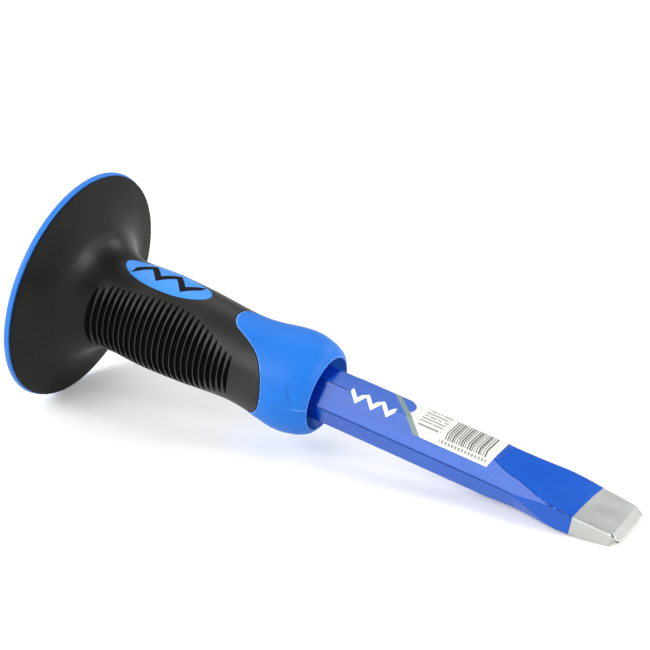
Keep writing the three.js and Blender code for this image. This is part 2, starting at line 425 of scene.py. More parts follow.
def collar_look():
    """The collar's plastic, with pale rims that are worn and carry a painted highlight, a moulding
    line on its side and a faint scuff.
    """
    look = plastic_look("collar_blue", (0.0135, 0.157, 0.59), (0.0095, 0.122, 0.485), 0.46, 0.17)
    along, across, up = look.parts()
    near_side = look.math("LESS_THAN", across, 0.0)
    speckle = look.noise(0.7, 3)
    # Pale rims: wear and a painted highlight.
    rim = look.product(look.attribute("rim", "Fac"), look.between(speckle, 0.35, 0.6, 0.25, 0.9))
    near_mouth = look.between(along, GUARD + 107.4, GUARD + 108.6, 0, 0.7)
    line = look.product(look.stripe(up, -0.5, -0.2, 0.08), near_side, near_mouth)
    color = look.mix(look.math("MAXIMUM", rim, line), look.tone, (0.19, 0.4, 0.86))
    # The scuff curves down and forward over the side that faces the camera.
    drop = look.math("POWER", look.between(up, 8.6, 1.3), 1.5)
    offset = look.math("SUBTRACT", along, look.math("MULTIPLY_ADD", drop, 3.6, GUARD + 104.2))
    scuff = look.between(look.math("ABSOLUTE", offset), 0.15, 0.8, 0.5, 0)
    worn = look.between(speckle, 0.3, 0.55)
    scuff = look.product(scuff, look.stripe(up, 1.6, 8.2, 0.9), worn, near_side)
    look.color(look.mix(scuff, color, (0.006, 0.07, 0.33)))
    return look


def rubber_look():
    """Soft black rubber, matt on the guard, with painted shade on the guard's face and deep in the
    grooves, painted light on the handle, and rib tops lightened for wear and a painted highlight.
    """
    look = Look("grip_rubber", (0.01, 0.01, 0.009), 0.4)
    look.shader.inputs["Specular IOR Level"].default_value = 0.16
    cloud = look.noise(16, 3)
    fine = look.noise(0.5, 3)
    along = look.parts()[0]
    dust = look.between(look.product(cloud, fine), 0.2, 0.42)
    # Painted shade and light: one rubber, drawn darker on the guard's face and lighter on the handle,
    # with dust in both.
    flare = look.mix(dust, (0.005, 0.005, 0.0045), (0.011, 0.011, 0.0095))
    handle_painted_light = look.mix(dust, (0.019, 0.0195, 0.0175), (0.029, 0.03, 0.027))
    skin = look.mix(look.between(along, GUARD + 17, GUARD + 34), flare, handle_painted_light)
    # Painted shade: the grooves are darkened towards black with their depth.
    recess = look.between(look.attribute("recess", "Fac"), 0.03, 0.3)
    skin = look.mix(recess, skin, (0.0008, 0.0008, 0.0008))
    # The rib tops are lightened for wear and a painted highlight.
    worn = look.product(look.attribute("crest_wear_and_highlight", "Fac"), look.between(fine, 0.3, 0.6, 0.45, 1))
    look.color(look.mix(worn, skin, (0.055, 0.057, 0.052)))
    sheen = look.between(cloud, 0.3, 0.7, 0.33, 0.43)
    matt = look.between(along, GUARD + 2.5, GUARD + 8, 0.25, 0)
    look.roughness(look.math("ADD", look.math("MULTIPLY_ADD", recess, 0.6, sheen), matt))
    look.bump(fine, 0.02)
    look.bump(look.noise(3.5, 2), 0.04)
    return look


def enamel_look():
    """Glossy blue enamel over forged steel: ripples, pits and dark lines where it thins at corners."""
    look = Look("bar_enamel", (0.004, 0.1, 0.56), 0.2)
    look.shader.inputs["Specular IOR Level"].default_value = 0.37
    cloud = look.noise(12, 3, stretch=(0.4, 1, 1))
    base = look.mix(look.between(cloud, 0.3, 0.75), (0.0025, 0.068, 0.41), (0.005, 0.09, 0.47))
    # Painted shade of the collar on the enamel, darker up to a ragged line.
    along = look.math("ADD", look.parts()[0], look.product(look.noise(1.6, 3), 1.6))
    painted_collar_shade = look.between(along, MOUTH + 2.2, MOUTH + 2.7, 0.8, 0)
    base = look.mix(painted_collar_shade, base, (0.001, 0.012, 0.3))
    thin = look.attribute("thin", "Fac")
    ragged = look.product(thin, look.between(look.noise(1.4, 3), 0.3, 0.6, 0.35, 1))
    pits = look.between(look.noise(2.6, 4), 0.69, 0.74, 0, 0.65)
    base = look.mix(look.math("MAXIMUM", ragged, pits), base, (0.002, 0.01, 0.13))
    # Painted glints of light along the hammered corners of the blade.
    painted_glints = look.product(thin, look.between(look.noise(1.5, 2), 0.56, 0.6, 0, 0.8))
    painted_glints = look.product(painted_glints, look.between(along, GUARD + 202, GUARD + 208))
    look.color(look.mix(painted_glints, base, (0.06, 0.25, 0.78)))
    look.roughness(look.between(look.noise(2.5, 3), 0.3, 0.7, 0.14, 0.26))
    look.bump(look.noise(7, 2, stretch=(0.35, 1, 1)), 0.05)
    look.bump(look.noise(0.8, 2), 0.005)
    return look


def steel_look():
    """Ground tool steel: satin, with fine grinding lines across the blade."""
    look = Look("ground_steel", (0.5, 0.51, 0.49), 0.36, metallic=1.0)
    lines = look.noise(0.22, 2, stretch=(1, 0.03, 0.3))
    cloud = look.noise(6, 3)
    tone = look.math("ADD", look.product(lines, 0.35), look.product(cloud, 0.5))
    tone = look.between(tone, 0.2, 0.7)
    blade = look.mix(tone, (0.45, 0.465, 0.445), (0.57, 0.59, 0.56))
    bevel = look.mix(tone, (0.4, 0.4, 0.385), (0.5, 0.5, 0.48))
    on_bevel = look.between(look.parts()[0], BEVEL_START - 0.1, BEVEL_START + 0.1)
    look.color(look.mix(burr_mask(look), look.mix(on_bevel, blade, bevel), (0.03, 0.03, 0.032)))
    look.roughness(look.between(cloud, 0.3, 0.7, 0.42, 0.54))
    look.bump(lines, 0.012)
    return look


def burr_mask(look):
    """Dark burr along the corner between the ground bevel and the side that faces the camera."""
    along, across, up = look.parts()
    bevel_top = look.math("MULTIPLY_ADD", look.math("SUBTRACT", TIP, along), BEVEL_SLOPE, EDGE_HALF)
    depth = look.between(along, TIP - 3, TIP - 1.2, 0.35, 0.9)
    on_top = look.math("GREATER_THAN", up, look.math("SUBTRACT", bevel_top, depth))
    inner = look.between(along, TIP - 3, TIP - 1.8, 0.4 - EDGE_WIDTH, 1.03 - EDGE_WIDTH)
    at_side = look.math("LESS_THAN", across, inner)
    return look.product(on_top, at_side, look.between(along, TIP - 4.4, TIP - 4, 0, 0.95))


def emblem_look():
    look = Look("emblem_black", (0.01, 0.01, 0.012), 0.5)
    fine = look.noise(0.6, 2)
    look.shader.inputs["Specular IOR Level"].default_value = 0.08
    look.color(look.mix(fine, (0.001, 0.001, 0.003), (0.005, 0.005, 0.008)))
    look.roughness(look.between(fine, 0.3, 0.7, 0.42, 0.6))
    look.bump(fine, 0.015)
    return look


# The label's print. u runs along the label and v across it, in millimetres.

LABEL_WHITE = (0.62, 0.63, 0.59)
LABEL_INK = (0.02, 0.022, 0.02)
LABEL_FILM = (0.025, 0.095, 0.42)
LABEL_STRIPE = (0.15, 0.225, 0.215)
LABEL_ZIGZAG = (0.85, 0.87, 0.88)


def label_look():
    """Printed film: blue with a zigzag, a slanted stripe, then white with bars and plain dashes."""
    look = Look("label_print", (0.87, 0.87, 0.84), 0.34)
    look.shader.inputs["Specular IOR Level"].default_value = 0.35
    u, v, _ = look.parts(look.attribute("print_place", "Vector"))
    past_film = look.math("GREATER_THAN", u, look.math("MULTIPLY_ADD", v, 0.99, 14.4))
    past_stripe = look.math("GREATER_THAN", u, look.math("MULTIPLY_ADD", v, 0.98, 17.3))
    stripe = look.product(past_film, look.math("SUBTRACT", 1.0, past_stripe))
    color = look.mix(past_stripe, LABEL_FILM, LABEL_WHITE)
    color = look.mix(look.product(panel_mask(look, u, v), past_stripe), color, LABEL_FILM)
    color = look.mix(stripe, color, LABEL_STRIPE)
    color = look.mix(zigzag_mask(look, u, v), color, LABEL_ZIGZAG)
    printed = look.math("MAXIMUM", dash_mask(look, u, v), bar_mask(look, u, v))
    printed = look.math("MAXIMUM", printed, tick_mask(look, u, v))
    look.color(look.mix(look.product(printed, past_stripe, 0.95), color, LABEL_INK))
    look.roughness(look.between(look.noise(4, 3), 0.3, 0.7, 0.28, 0.42))
    look.bump(look.noise(9, 2), 0.06)
    return look


def panel_mask(look, u, v):
    """Blue corner panel past the stripe, with a rounded end."""
    middle = 5.3
    from_middle = look.math("DIVIDE", look.math("SUBTRACT", v, middle), middle)
    rounding = look.math("POWER", look.math("ABSOLUTE", from_middle), 2.6)
    end = look.math("SUBTRACT", 25.9, look.product(rounding, 4.3))
    return look.product(look.math("LESS_THAN", u, end), look.math("LESS_THAN", v, 8.4))


def zigzag_mask(look, u, v):
    """Plain zigzag on the film."""
    wave = look.math("PINGPONG", look.math("SUBTRACT", u, 1.6), 3.3)
    offset = look.math("SUBTRACT", v, look.math("MULTIPLY_ADD", wave, 1.15, 9.3))
    stroke = look.math("LESS_THAN", look.math("ABSOLUTE", offset), 1.15)
    return look.product(stroke, look.stripe(u, 1.6, 20.6))


def dash_mask(look, u, v):
    """Rows of plain dashes where small print would be."""
    row = look.math("DIVIDE", look.math("SUBTRACT", v, 0.2), 2.05)
    cell = look.node("ShaderNodeCombineXYZ")
    look.link(look.math("FLOOR", look.product(u, 1.55)), cell.inputs[0])
    look.link(look.math("FLOOR", row), cell.inputs[1])
    draw = look.node("ShaderNodeTexWhiteNoise")
    draw.noise_dimensions = "2D"
    look.link(cell.outputs[0], draw.inputs["Vector"])
    inked = look.math("GREATER_THAN", draw.outputs["Value"], 0.1)
    in_row = look.stripe(look.math("FRACT", row), 0.28, 0.62)
    above_foot = look.math("LESS_THAN", v, 12.6)
    return look.product(in_row, inked, look.stripe(u, 30, 39.6), above_foot, 0.75)


def bar_mask(look, u, v):
    """Block of bars of uneven width."""
    pitch_place = look.product(u, 1.12)
    draw = look.node("ShaderNodeTexWhiteNoise")
    draw.noise_dimensions = "1D"
    look.link(look.math("FLOOR", pitch_place), draw.inputs["W"])
    width = look.between(draw.outputs["Value"], 0, 1, 0.32, 0.78)
    bars = look.math("LESS_THAN", look.math("FRACT", pitch_place), width)
    return look.product(bars, look.stripe(u, 41.6, 58.8), look.stripe(v, 0.8, 12.9))


def tick_mask(look, u, v):
    """Row of plain ticks beneath the bars."""
    ticks = look.math("GREATER_THAN", look.math("FRACT", look.product(u, 0.74)), 0.42)
    return look.product(ticks, look.stripe(v, 13.5, 14.7), look.stripe(u, 40.2, 59.2), 0.7)


# ------------------------------ the bar

SIDES = 288                         # points in each ring round the bar
CORNER = 60                         # the larger, the crisper the corners of the bar
HEAD_CHAMFER = 5                    # length of the struck head's cone
HEAD_FACE = 7.8                     # radius of its flat face


def section_planes(x, extra):
    """(direction, distance) of each plane that bounds the bar at x. Direction 0 is up."""
    ahead = x - GUARD
    half = FLATS / 2
    planes = [(0, half), (math.pi, half)]
    for hand, below, column in ((-1, 0, 1), (-1, 1, 2), (1, 0, 3), (1, 1, 3)):
        side = FLAT_WIDTH * smooth(SPREAD, column, ahead)
        slant = math.atan2(half, side / 2)
        turn = math.pi - slant if below else slant
        planes.append((hand * turn, half * side / math.hypot(half, side / 2)))
    if ahead > BLADE[0, 0]:
        lean = math.radians(smooth(BLADE, SIDE_LEAN, ahead))
        top_lean = math.radians(smooth(BLADE, TOP_LEAN, ahead))
        width, top, bottom = (blade_face(column, ahead) for column in (HALF_WIDTH, TOP, BOTTOM))
        planes += [(-top_lean, top), (math.pi - lean, bottom)]
        planes += [(math.pi / 2 - lean, width), (-math.pi / 2 - lean, width)]
        leg = EDGE_CHAMFER * ease(ahead, 217, 221) * (1 - ease(x, TIP - 4, TIP - 2.2))
        planes.append((-math.pi / 4, (width + top - leg) / math.sqrt(2)))
    return [(direction, distance + extra) for direction, distance in planes]


def blade_face(column, ahead):
    """Half width, top or bottom of the blade. The last stretch is ground to the cutting edge."""
    if ahead <= BLADE[-1, 0]:
        return float(smooth(BLADE, column, ahead))
    share = (ahead - BLADE[-1, 0]) / (TIP - BEVEL_START)
    end = EDGE_WIDTH if column == HALF_WIDTH else EDGE_HALF
    return BLADE[-1, column] + (end - BLADE[-1, column]) * share


def section(x, extra, angles):
    """Radius of the bar at x in each direction, with its corners a little rounded."""
    total = np.zeros_like(angles)
    for direction, distance in section_planes(x, extra):
        total += (np.maximum(0, np.cos(angles - direction)) / distance) ** CORNER
    cone = HEAD_FACE + x * (FLAT_WIDTH + 1 - HEAD_FACE) / HEAD_CHAMFER + extra
    total += (1 / cone) ** CORNER
    return total ** (-1 / CORNER)


def section_angles(x):
    """Directions spread evenly round the section, however flat it is."""
    even = np.linspace(0, 2 * math.pi, SIDES, endpoint=False)
    ahead = x - GUARD
    flatness = 1.0
    if ahead > BLADE[0, 0]:
        flatness = min(1.0, blade_face(TOP, ahead) / blade_face(HALF_WIDTH, ahead) * 1.3)
    return np.arctan2(np.sin(even), np.cos(even) * flatness)


def bar_ring(x, extra, angles=None):
    """Points round the bar at x, moved out by extra."""
    angles = section_angles(x) if angles is None else angles
    radius = section(x, extra, angles)
    return np.stack([np.full_like(angles, x), radius * np.sin(angles), radius * np.cos(angles)], -1)


def steel_bar(look):
    """The forging, bare where the enamel ends."""
    positions = [0.001, 0.35, 0.8, 1.6, 3, HEAD_CHAMFER, 8, 20, 60, 120, 180]
    positions += list(np.arange(GUARD + 180, BEVEL_START - 0.3, 0.6))
    positions += [BEVEL_START + step for step in (-0.3, -0.12, 0, 0.12, 0.3)]
    positions += list(np.linspace(BEVEL_START + 0.5, TIP - 0.08, 16)) + [TIP]
    rings = [bar_ring(x, 0) for x in positions]
    struck_face = rings[0].copy()
    struck_face[:, 1:] *= 0.965
    struck_face[:, 0] = 0
    rings[0][:, 0] = 0.15
    rings.insert(0, struck_face)
    nick(rings)
    points = np.concatenate(rings + [[[0, 0, 0]], [[TIP, 0, 0]]])
    faces = tube_faces(len(rings), SIDES)
    return add_piece("chisel_bar_steel", points, faces, look, "chisel_bar", 24)


NICK_REACH = 1.5                    # along the bar, from its middle
NICK_WIDTH = 1.6
NICK_INSET = 0.6
NICK_DEPTH = 0.8


def nick(rings):
    """Chips the corner where the cutting edge meets the side that faces the camera."""
    for ring in rings:
        away = (ring[:, 0] - (TIP - 1.2)) / NICK_REACH
        across = (ring[:, 1] + EDGE_WIDTH) / NICK_WIDTH
        share = np.clip(1 - away ** 2 - across ** 2, 0, 1) ** 0.7
        ring[:, 1] += NICK_INSET * share
        ring[:, 2] -= np.sign(ring[:, 2]) * np.minimum(np.abs(ring[:, 2]), NICK_DEPTH * share)


def paint_end(angles):
    """Where the enamel stops before the cutting edge, on a slightly bowed and wavy line."""
    across = section(GUARD + 219, 0, angles) * np.sin(angles) / EDGE_WIDTH
    wave = 0.04 * np.sin(9 * across + 1)
    return GUARD + PAINT_END + 0.8 * across + 0.35 * across ** 2 + wave


def enamel_coat(look):
    """Thin skin of enamel from the struck head to the bare end of the blade."""
    taper = GUARD + BLADE[0, 0] - 2
    positions = [1.2, 1.45, 2, 3, 4, 4.6, 5, 5.4, 6, 7, 9, 12]
    positions += list(np.linspace(16, MOUTH - 10, 8))
    positions += list(np.arange(MOUTH - 8, taper, 2.0))
    positions += list(np.arange(taper, GUARD + 217, 0.45))
    rings = [bar_ring(x, PAINT) for x in positions]
    # The last rings close up on the wavy end, where the coat gets thinner.
    angles = section_angles(GUARD + 219)
    end = paint_end(section_angles(GUARD + 215))
    for share in (0.25, 0.5, 0.75, 0.9, 1.0):
        extra = PAINT if share < 1 else PAINT * 0.55
        reached = positions[-1] + (end - positions[-1]) * share
        rings.append([bar_ring(x, extra, angles[k:k + 1])[0] for k, x in enumerate(reached)])
    outer = np.stack(rings)
    inner = outer.copy()
    inner[:, :, 1:] *= 0.97
    inner[-1, :, 0] -= 0.3
    loop = np.concatenate([outer, inner[::-1]])
    coat = ring_piece("bar_enamel", loop, look, None, 24)
    store(coat, "thin", corner_share(loop))
    return coat


def corner_share(loop):
    """How sharply each row of a skin turns at each point, from 0 on a flat to 1 at a corner."""
    y, z = loop[..., 1], loop[..., 2]
    before = np.arctan2(z - np.roll(z, 2, 1), y - np.roll(y, 2, 1))
    after = np.arctan2(np.roll(z, -2, 1) - z, np.roll(y, -2, 1) - y)
    turn = np.abs((after - before + math.pi) % (2 * math.pi) - math.pi)
    return ease(turn, 0.2, 0.6)


# ------------------------------ guard moulding

PLATE_INSET = 0.45                  # the plate is this much smaller in radius than the CAD node
HUB_HEIGHT = 2.75                   # how far the hub stands out behind the plate
HUB_BACK = -5.5                     # its back face, from the guard plane


def arc(centre, radius, start, end, steps):
    """Points (x, r) on a round corner of a profile, angles in degrees from the +x direction."""
    turns = np.radians(np.linspace(start, end, steps))
    return [(centre[0] + radius * math.cos(a), centre[1] + radius * math.sin(a)) for a in turns]


def guard_profile():
    """Outline of the moulding from the hub round the plate to the end of the tube, as (x, r)."""
    back = core_low[0] + HUB_HEIGHT - GUARD
    widest = GUARD_RADIUS - PLATE_INSET
    hub = [(HUB_BACK, 12.5), (HUB_BACK, 14.6)] + arc((-4.7, 15.7), 0.8, 180, 100, 5)
    hub += [(-4.2, 17.2), (-3.9, 19.3), (-3.5, 21.3), (-3.15, 23.5)]
    groove = [(back, 40.6), (back + 0.35, 40.9), (back + 0.35, 41.9), (back, 42.2)]
    plate = [(back, 27), (back, 40.2)] + groove + [(back, 42.7), (back, 45), (back + 0.02, 46)]
    rim = arc((back + 0.8, widest - 0.85), 0.8, 178, 92, 6)
    rim += [(-1.7, widest), (-1.4, widest - 0.03), (-1, widest - 0.12)]
    rim += arc((-0.85, widest - 0.7), 0.45, 85, 10, 5)
    rim += [(-0.4, widest - 1), (-0.4, widest - 1.8), (-0.3, widest - 2.6)]
    under_rubber = [(-0.2, 40), (-0.2, 33), (4, 23), (11, 16.5), (19, TUBE), (60, TUBE)]
    return hub + plate + rim + under_rubber + [(TUBE_END, TUBE)]


def bore_radius(widened, angles):
    """Radius of the hexagonal bore in each direction, with its flats moved out by some way."""
    wall = BORE_FLATS / 2 + widened
    total = sum((np.maximum(0, np.cos(angles - k * math.pi / 3)) / wall) ** 80 for k in range(6))
    return total ** (-1 / 80)


def guard_moulding(look):
    """Round plate behind the guard, with the tube that the bar is pressed into."""
    angles = np.linspace(0, 2 * math.pi, 240, endpoint=False)
    bore = [(TUBE_END, 0), (60, 0), (10, 0), (-4.8, 0), (-5.3, 0.35)]
    rows = [ring_points(GUARD + HUB_BACK, bore_radius(0.35, angles) + 0.5, angles)]
    rows += [ring_points(GUARD + x, r, angles) for x, r in guard_profile()]
    rows += [ring_points(GUARD + x, bore_radius(widened, angles), angles) for x, widened in bore]
    return ring_piece("guard_moulding", rows, look, "guard_core", 35)


# ------------------------------ rubber grip

RIB_PITCH = 2.567
RIB_COUNT = 25
RIB_START = GUARD + 16.8            # middle of the first groove
RIB_DEPTH = 1.3
GROOVE_HALF_WIDTH = 0.46            # of the pitch, at the side line
COLUMNS = 216                       # points in each row round the sleeve

# Start of the grooves: distance in front of the guard plane, degrees from the top line.
GROOVE_START = np.array([
    [16, 50], [19, 47], [22, 40], [26, 39], [64, 39], [68, 45], [72, 52], [77, 59], [80, 63],
])

# Edge of the rubber on the plate: distance in front of the guard plane, depth below the rim.
RUBBER_LIP = [(0, 1.5), (0, 0.7), (0.03, 0.35), (0.15, 0.15), (0.32, 0.1), (0.5, 0.22), (0.66, 0.5)]
RUBBER_RIM = GUARD_RADIUS - 0.95


def rib_place(x, angles):
    """Share of the pitch from the middle of the nearest groove, and how far into the ribbed field."""
    phase = (x - RIB_START) / RIB_PITCH
    from_middle = np.abs(phase - np.round(phase))
    along = (phase > -0.5) & (phase < RIB_COUNT - 0.5)
    turned = from_top(angles)
    folded = np.minimum(turned, 180 - turned)
    start = smooth(GROOVE_START, 1, x - GUARD)
    return from_middle, along * np.clip((folded - start) / 30, 0, 1)


def groove_depth(x, angles):
    """How deep the ribbed surface lies below the grip's outline."""
    from_middle, into_field = rib_place(x, angles)
    half_width = GROOVE_HALF_WIDTH * into_field ** 0.65
    return RIB_DEPTH * ease(half_width - from_middle, 0, 0.11) * ease(into_field, 0, 0.2)


def flash(x, angles):
    """Height of a little rubber that was squeezed out at the lower corners of the seam."""
    along = (x - GUARD - 89.5) / 1.6
    round_it = (from_top(angles) - 126) / 5
    return 0.4 * np.exp(-along ** 2 - round_it ** 2)


def flare_rows(angles):
    """The rubber's slightly ragged edge on the plate, and its trumpet-shaped face."""
    ragged = 0.07 * np.sin(17 * angles + 1) * np.sin(29 * angles) + 0.05 * np.sin(53 * angles)
    rows = [ring_points(GUARD + x, RUBBER_RIM - depth + ragged, angles) for x, depth in RUBBER_LIP]
    flare = np.concatenate([np.linspace(0.8, 3.6, 14), np.linspace(3.9, 14, 34)])
    return rows + [ring_points(x, grip_radius(x), angles) for x in GUARD + flare]


def ribbed_rows(angles, end):
    """The grip from its first rib to the seam, which lies at end in each direction.

    The rows follow the ribs, closest together on the walls of the grooves. Past the bend they are
    squeezed together where the tongues of the collar reach back.
    """
    steps = np.array([0, 0.18, 0.3, 0.345, 0.38, 0.42, 0.455, 0.5])
    steps = np.concatenate([-steps[:0:-1], steps[:-1]])
    ribbed = (RIB_START + RIB_PITCH * (np.arange(RIB_COUNT)[:, None] + steps)).ravel()
    last_rib = ribbed[-1]
    after = np.linspace(last_rib + 0.3, GUARD + SEAM[-1, 1] - 0.6, 26)
    last_row = after[-1]
    bend = GUARD + 62
    stop = end - SEAM_ROUND
    keeps_ribs = ease(end, GUARD + 76, GUARD + 86)
    rows = []
    for x in np.concatenate([ribbed, after]):
        squeezed = bend + (stop - bend) * np.clip((x - bend) / (last_row - bend), 0, 1)
        past_ribs = np.clip((x - last_rib) / (last_row - last_rib), 0, 1)
        straight = np.minimum(x, last_rib) + (stop - last_rib) * past_ribs
        place_x = np.where(x < bend, x, squeezed + (straight - squeezed) * keeps_ribs)
        radius = grip_radius(place_x) - groove_depth(place_x, angles) + flash(place_x, angles)
        rows.append(ring_points(place_x, radius, angles))
    return rows


def rounded_edge(edge, inward, turns, angles):
    """Rows round the edge of a piece at the seam. Inward is the way its body lies, 1 or -1."""
    rows = []
    for turn in np.radians(turns):
        x = edge + inward * SEAM_ROUND * (1 - math.sin(turn))
        rows.append(ring_points(x, grip_radius(x) - SEAM_ROUND * (1 - math.cos(turn)), angles))
    return rows


def grip_sleeve(look):
    """Rubber over the guard and the grip, ribbed on both sides where the fingers lie."""
    angles = np.linspace(0, 2 * math.pi, COLUMNS, endpoint=False)
    end = seam(angles) - FIT / 2
    rows = flare_rows(angles) + ribbed_rows(angles, end)
    rows += rounded_edge(end, -1, (20, 40, 60, 80), angles)
    rows.append(ring_points(end, grip_radius(end) - SEAM_DEPTH, angles))
    rows.append(ring_points(end, TUBE + TUBE_GAP, angles))
    for x, r in [(60, TUBE + TUBE_GAP), (19.2, TUBE + 0.3), (11.3, 16.9), (4.2, 23.5), (0, 33.5)]:
        rows.append(ring_points(GUARD + x, r, angles))
    sleeve = ring_piece("grip_sleeve_rubber", rows, look, "grip_sleeve", 50)
    carve(sleeve, closed_object("pocket", *oval_body(BADGE_GAP, -1.0, BADGE_DEPTH + 0.25)))
    finish_piece(sleeve, look, "grip_sleeve", 50)
    mark_ribs(sleeve)
    return sleeve


def mark_ribs(sleeve):
    """Stores how deep each point lies below the outline of the grip, and where the rib tops are
    lightened for wear and a painted highlight.
    """
    world = np.empty(len(sleeve.data.vertices) * 3)
    sleeve.data.vertices.foreach_get("co", world)
    x, y, z = along_bar(world).T
    z = z - grip_lift(x)
    depth = grip_radius(x) - np.hypot(y, z)
    from_middle, into_field = rib_place(x, np.arctan2(-y, z))
    crest_wear_and_highlight = ease(from_middle, 0.43, 0.49) * ease(into_field, 0.02, 0.3)
    store(sleeve, "recess", np.clip(depth / RIB_DEPTH, 0, 1))
    store(sleeve, "crest_wear_and_highlight", crest_wear_and_highlight * (depth < 0.2) * (x > RIB_START))


# ------------------------------ badge

BADGE_CENTRE = (inlay_low[0] + inlay_high[0]) / 2
BADGE_LENGTH = inlay_high[0] - inlay_low[0]
BADGE_WIDTH = inlay_high[1] - inlay_low[1]
BADGE_SINK = 0.02                   # of its top below the outline of the grip
BADGE_DEPTH = 1.5
BADGE_EDGE = 0.18                   # rounding of its rim
BADGE_GAP = 0.12                    # all round it

EMBLEM_TURNS = 5                    # straight strokes of the zigzag
EMBLEM_PITCH = 5.6                  # length of one of them, along the badge
EMBLEM_HEIGHT = 6.4
EMBLEM_STROKE = 3.8
EMBLEM_PROUD = 0.12                 # of the badge
EMBLEM_ROOT = 0.4                   # its underside, below the outline of the grip
EMBLEM_EDGE = 0.08                  # rounding of its edges


def on_grip(x, y, sink):
    """Points on top of the grip, sunk below its outline."""
    radius = grip_radius(x) - sink
    return np.stack([x, y, np.sqrt(np.maximum(radius ** 2 - y ** 2, 0.01)) + grip_lift(x)], -1)


def oval_body(grow, top, bottom, edge=0.0):
    """Points and faces of an oval that is bent over the grip, between two depths."""
    turns = np.linspace(0, 2 * math.pi, 160, endpoint=False)
    shares = np.linspace(0.06, 1, 18)

    def ring(share, sink, shrink=0.0):
        half_length = (BADGE_LENGTH / 2 + grow - shrink) * share
        half_width = (BADGE_WIDTH / 2 + grow - shrink) * share
        return on_grip(BADGE_CENTRE + half_length * np.cos(turns), half_width * np.sin(turns), sink)

    rows = [ring(share, top, edge) for share in shares]
    if edge:
        for turn in np.radians([30, 60, 90]):
            rows.append(ring(1, top + edge * (1 - math.cos(turn)), edge * (1 - math.sin(turn))))
    rows.append(ring(1, bottom))
    rows += [ring(share, bottom) for share in shares[::-3]]
    middle = np.array([BADGE_CENTRE, 0.0])
    ends = [[on_grip(middle[0], middle[1], sink)] for sink in (top, bottom)]
    return np.concatenate(rows + ends), tube_faces(len(rows), len(turns))


def badge_inlay(look):
    """Blue oval set flush in the top of the grip."""
    points, faces = oval_body(0, BADGE_SINK, BADGE_DEPTH, BADGE_EDGE)
    return add_piece("badge_inlay_oval", points, faces, look, "badge_inlay")


def badge_emblem(look):
    """A plain raised zigzag along the badge."""
    start = BADGE_CENTRE - EMBLEM_TURNS * EMBLEM_PITCH / 2
    per_turn = 16
    along = np.linspace(0, EMBLEM_TURNS, EMBLEM_TURNS * per_turn + 1)
    x = start + along * EMBLEM_PITCH
    wave = np.abs((along % 2) - 1) * 2 - 1
    middle = -wave * EMBLEM_HEIGHT / 2
    edge = EMBLEM_EDGE
    proud = BADGE_SINK - EMBLEM_PROUD
    # Section of the stroke, as a share of its half width and a depth.
    across = [(-1, EMBLEM_ROOT), (-1, proud + edge)]
    across += [(-1 + 0.3 * edge, proud + 0.3 * edge), (-1 + edge, proud)]
    across += [(share, proud) for share in (-0.7, -0.35, 0, 0.35, 0.7)]
    across += [(-share, sink) for share, sink in across[3::-1]]
    half = EMBLEM_STROKE / 2
    loop = np.stack([on_grip(x, middle + share * half, sink) for share, sink in across], 1)
    rows, columns, _ = loop.shape
    faces = grid_faces(rows, columns, False, True)
    faces.append(list(range(columns)))
    faces.append([(rows - 1) * columns + k for k in range(columns)][::-1])
    return add_piece("badge_emblem_zigzag", loop.reshape(-1, 3), faces, look,
                     "badge_emblem", 35)


# ------------------------------ collar

THROAT = 11.2                       # radius of the hole that the bar leaves by

# Lip and throat of the mouth: distance from the mouth's end, radius.
MOUTH_LIP = [
    (-0.02, 14.84), (0, 14.74), (-0.03, 14.64), (-0.12, 14.56), (-0.3, 14.5), (-0.7, 14.34),
    (-1.4, 14.02), (-2.4, 13.5), (-3.6, 12.8), (-4.8, 12.05), (-5.7, 11.45), (-6.3, THROAT),
]


def front_collar(look):
    """Bright collar in front of the fingers, with tongues along the top and bottom lines."""
    angles = np.linspace(0, 2 * math.pi, 288, endpoint=False)
    start = seam(angles) + FIT / 2
    rows = [ring_points(start, grip_radius(start) - SEAM_DEPTH, angles)]
    rows += rounded_edge(start, 1, (80, 60, 40, 20), angles)
    begin = start + SEAM_ROUND
    full = GUARD + 97
    for share in np.linspace(0, 1, 60):
        x = begin + (full - begin) * share
        rows.append(ring_points(x, grip_radius(x), angles))
    for x in np.linspace(full + 0.35, GUARD + OUTLINE[-1, 0] - 0.25, 42):
        rows.append(ring_points(x, grip_radius(x), angles))
    rows += [ring_points(MOUTH + x, r, angles) for x, r in MOUTH_LIP]
    wall = GUARD + TUBE_END + 0.3
    for x, r in ((wall + 0.05, THROAT), (wall, THROAT + 0.1), (wall, TUBE + TUBE_GAP)):
        rows.append(ring_points(x, r, angles))
    rows.append(ring_points(start, TUBE + TUBE_GAP, angles))
    collar = ring_piece("front_collar_plastic", rows, look, "front_collar", 45)
    # The rims, lightened for wear and a painted highlight: the rounded edge along the seam, and more
    # faintly the lip.
    rim = 0.6 * (np.stack(rows)[..., 0] > MOUTH - 0.22)
    rim[1:6] = 1
    store(collar, "rim", rim)
    return collar


# ------------------------------ label

LABEL_START = 30.4                  # degrees from the top line, on the far side
LABEL_WIDTH = 15.9
LABEL_SKEW = 1.9                    # how far its end is cut back at the lower corner
LABEL_LIFT = 0.06                   # over the enamel


def label_section():
    """How far across the label each line of points lies, and its y and z on the bar."""
    fold = FLAT_WIDTH
    across = np.concatenate([
        np.linspace(0, fold - 0.9, 18),
        np.linspace(fold - 0.7, fold + 0.9, 16),
        np.linspace(fold + 1.2, LABEL_WIDTH, 10),
    ])
    angles = np.radians(np.linspace(LABEL_START, -90, 400))
    radius = section(GUARD + 140, PAINT + LABEL_LIFT, angles)
    path = np.stack([radius * np.sin(angles), radius * np.cos(angles)], -1)
    steps = np.linalg.norm(np.diff(path, axis=0), axis=1)
    travelled = np.concatenate([[0], np.cumsum(steps)])
    return across, np.interp(across, travelled, path[:, 0]), np.interp(across, travelled, path[:, 1])


